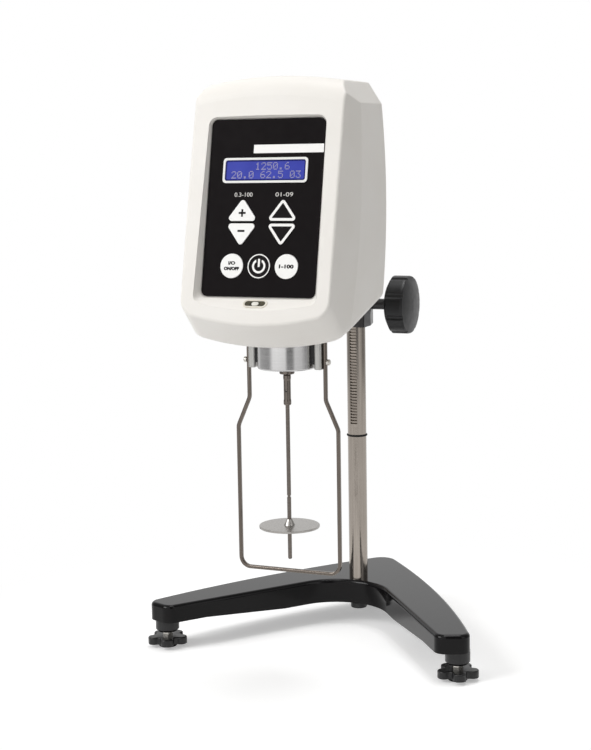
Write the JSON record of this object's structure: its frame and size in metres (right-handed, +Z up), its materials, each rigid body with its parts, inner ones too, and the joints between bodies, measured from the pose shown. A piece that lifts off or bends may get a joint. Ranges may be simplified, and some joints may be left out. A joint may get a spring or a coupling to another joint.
{
  "type": "rotational viscometer",
  "caption": "bench rotational viscometer: keypad head on a rack-and-pinion column, V-shaped levelling base, disc spindle in a wire guard leg",
  "frame": {"origin": "on the bench, under the middle of the instrument's bounding box", "axes": "+Z up, the keypad faces -Y, the hand knob is on +X"},
  "size_m": [0.283, 0.2868, 0.4617],
  "materials": {
    "base_paint": "gloss black stove enamel",
    "column_steel": "ground steel",
    "fastener": "plain steel",
    "ring_rubber": "matt black rubber",
    "black_moulding": "black moulding",
    "carriage_paint": "satin black paint",
    "brass": "turned brass",
    "white_plastic": "acetal",
    "knob_plastic": "satin black plastic",
    "housing_plastic": "fine-grained off-white moulding",
    "panel_film": "near-black printed film",
    "bezel_plastic": "white frame",
    "lcd_glass": "blue display",
    "board": "green circuit board",
    "level_chrome": "bright",
    "vial_glass": "tinted vial",
    "plate_aluminium": "plain sheet",
    "plate_steel": "zinc plated",
    "cup_aluminium": "fine turned, satin",
    "guard_steel": "brushed stainless",
    "spindle_steel": "bright stainless",
    "pin_chrome": "nickel plated",
    "white_key": "white printed key",
    "black_key": "black printed key",
    "wheel_plastic": "satin black plastic",
    "pad_rubber": "black rubber"
  },
  "bodies": {
    "stand": {"base_casting": "base_paint", "column": "column_steel", "column_bolt": "fastener", "stop_ring": "ring_rubber", "foot_collars": "black_moulding"},
    "head": {"clamp_block": "carriage_paint", "column_bushes": "brass", "clamp_screws": "fastener", "brake_pad": "white_plastic", "pinion_bush": "black_moulding", "housing": "housing_plastic", "rear_cover": "housing_plastic", "power_inlet": "black_moulding", "inlet_pins": "pin_chrome", "panel_overlay": "panel_film", "lcd_bezel": "bezel_plastic", "lcd_glass": "lcd_glass", "lcd_module": "board", "key_board": "board", "level_bezel": "level_chrome", "level_vial": "vial_glass", "chassis": "plate_aluminium", "mounting_arm": "column_steel", "main_board": "board", "drive_shelf": "plate_aluminium", "jewel_bearing": "brass", "gearmotor": "plate_steel", "pivot_cup": "cup_aluminium", "lower_bearing": "spindle_steel", "guard_lugs": "cup_aluminium", "lug_pads": "black_moulding", "guard_leg": "guard_steel", "guard_screws": "pin_chrome"},
    "knob": {"pinion_shaft": "fastener", "pinion": "brass", "knob": "knob_plastic"},
    "drive": {"drive_gear": "brass", "spring_cage": "cup_aluminium"},
    "spindle": {"torsion_spring": "brass", "pivot_shaft": "spindle_steel", "spindle_coupling": "spindle_steel", "spindle_shaft": "spindle_steel", "spindle_disc": "spindle_steel"},
    "motor_shaft": {"motor_pinion": "brass"},
    "key_motor_cap": {"key_motor": "white_key"},
    "key_power_cap": {"key_power": "black_key"},
    "key_range_cap": {"key_range": "white_key"},
    "key_speed_up_cap": {"key_speed_up": "white_key"},
    "key_speed_down_cap": {"key_speed_down": "white_key"},
    "key_spindle_up_cap": {"key_spindle_up": "black_key"},
    "key_spindle_down_cap": {"key_spindle_down": "black_key"},
    "screw_left": {"foot_wheel_left": "wheel_plastic", "foot_stud_left": "pin_chrome"},
    "pad_left": {"foot_pad_left": "pad_rubber"},
    "screw_right": {"foot_wheel_right": "wheel_plastic", "foot_stud_right": "pin_chrome"},
    "pad_right": {"foot_pad_right": "pad_rubber"},
    "screw_rear": {"foot_wheel_rear": "wheel_plastic", "foot_stud_rear": "pin_chrome"},
    "pad_rear": {"foot_pad_rear": "pad_rubber"}
  },
  "joints": [
    {"name": "head_slide", "type": "slide", "parent": "stand", "child": "head", "axis": [0, 0, 1], "range_m": [-0.08, 0.085]},
    {"name": "knob_turn", "type": "hinge", "parent": "head", "child": "knob", "pos_m": [0, 0.0565, 0.2793], "axis": [1, 0, 0], "range_deg": [-677, 637]},
    {"name": "drive_turn", "type": "hinge", "parent": "head", "child": "drive", "pos_m": [0, -0.08, 0.318], "axis": [0, 0, 1], "continuous": true},
    {"name": "motor_turn", "type": "hinge", "parent": "head", "child": "motor_shaft", "pos_m": [-0.0208, -0.08, 0.318], "axis": [0, 0, 1], "continuous": true},
    {"name": "spindle_windup", "type": "hinge", "parent": "drive", "child": "spindle", "pos_m": [0, -0.08, 0.24], "axis": [0, 0, 1], "range_deg": [-85, 85], "stiffness_Nm_per_rad": 0.001},
    {"name": "key_motor_press", "type": "slide", "parent": "head", "child": "key_motor_cap", "axis": [0, 0.9781, -0.2079], "range_m": [0, 0.0005], "stiffness_N_per_m": 400, "springref_m": -0.0002},
    {"name": "key_power_press", "type": "slide", "parent": "head", "child": "key_power_cap", "axis": [0, 0.9781, -0.2079], "range_m": [0, 0.0005], "stiffness_N_per_m": 400, "springref_m": -0.0002},
    {"name": "key_range_press", "type": "slide", "parent": "head", "child": "key_range_cap", "axis": [0, 0.9781, -0.2079], "range_m": [0, 0.0005], "stiffness_N_per_m": 400, "springref_m": -0.0002},
    {"name": "key_speed_up_press", "type": "slide", "parent": "head", "child": "key_speed_up_cap", "axis": [0, 0.9781, -0.2079], "range_m": [0, 0.0005], "stiffness_N_per_m": 400, "springref_m": -0.0002},
    {"name": "key_spindle_up_press", "type": "slide", "parent": "head", "child": "key_spindle_up_cap", "axis": [0, 0.9781, -0.2079], "range_m": [0, 0.0005], "stiffness_N_per_m": 400, "springref_m": -0.0002},
    {"name": "key_speed_down_press", "type": "slide", "parent": "head", "child": "key_speed_down_cap", "axis": [0, 0.9781, -0.2079], "range_m": [0, 0.0005], "stiffness_N_per_m": 400, "springref_m": -0.0002},
    {"name": "key_spindle_down_press", "type": "slide", "parent": "head", "child": "key_spindle_down_cap", "axis": [0, 0.9781, -0.2079], "range_m": [0, 0.0005], "stiffness_N_per_m": 400, "springref_m": -0.0002},
    {"name": "pad_left_slide", "type": "slide", "parent": "stand", "child": "pad_left", "axis": [0, 0, 1], "range_m": [-0.008, 0]},
    {"name": "screw_left_turn", "type": "hinge", "parent": "pad_left", "child": "screw_left", "pos_m": [-0.1257, -0.0485, 0.006], "axis": [0, 0, 1], "range_deg": [-2304, 0]},
    {"name": "pad_right_slide", "type": "slide", "parent": "stand", "child": "pad_right", "axis": [0, 0, 1], "range_m": [-0.008, 0]},
    {"name": "screw_right_turn", "type": "hinge", "parent": "pad_right", "child": "screw_right", "pos_m": [0.1257, -0.0485, 0.006], "axis": [0, 0, 1], "range_deg": [-2304, 0]},
    {"name": "pad_rear_slide", "type": "slide", "parent": "stand", "child": "pad_rear", "axis": [0, 0, 1], "range_m": [-0.008, 0]},
    {"name": "screw_rear_turn", "type": "hinge", "parent": "pad_rear", "child": "screw_rear", "pos_m": [0, 0.124, 0.006], "axis": [0, 0, 1], "range_deg": [-2304, 0]}
  ],
  "couplings": [
    {"joint": "knob_turn", "follows": "head_slide", "rad_per_m": -138.89},
    {"joint": "motor_turn", "follows": "drive_turn", "ratio": -3.3333},
    {"joint": "screw_left_turn", "follows": "pad_left_slide", "rad_per_m": 5026.5},
    {"joint": "screw_right_turn", "follows": "pad_right_slide", "rad_per_m": 5026.5},
    {"joint": "screw_rear_turn", "follows": "pad_rear_slide", "rad_per_m": 5026.5}
  ]
}
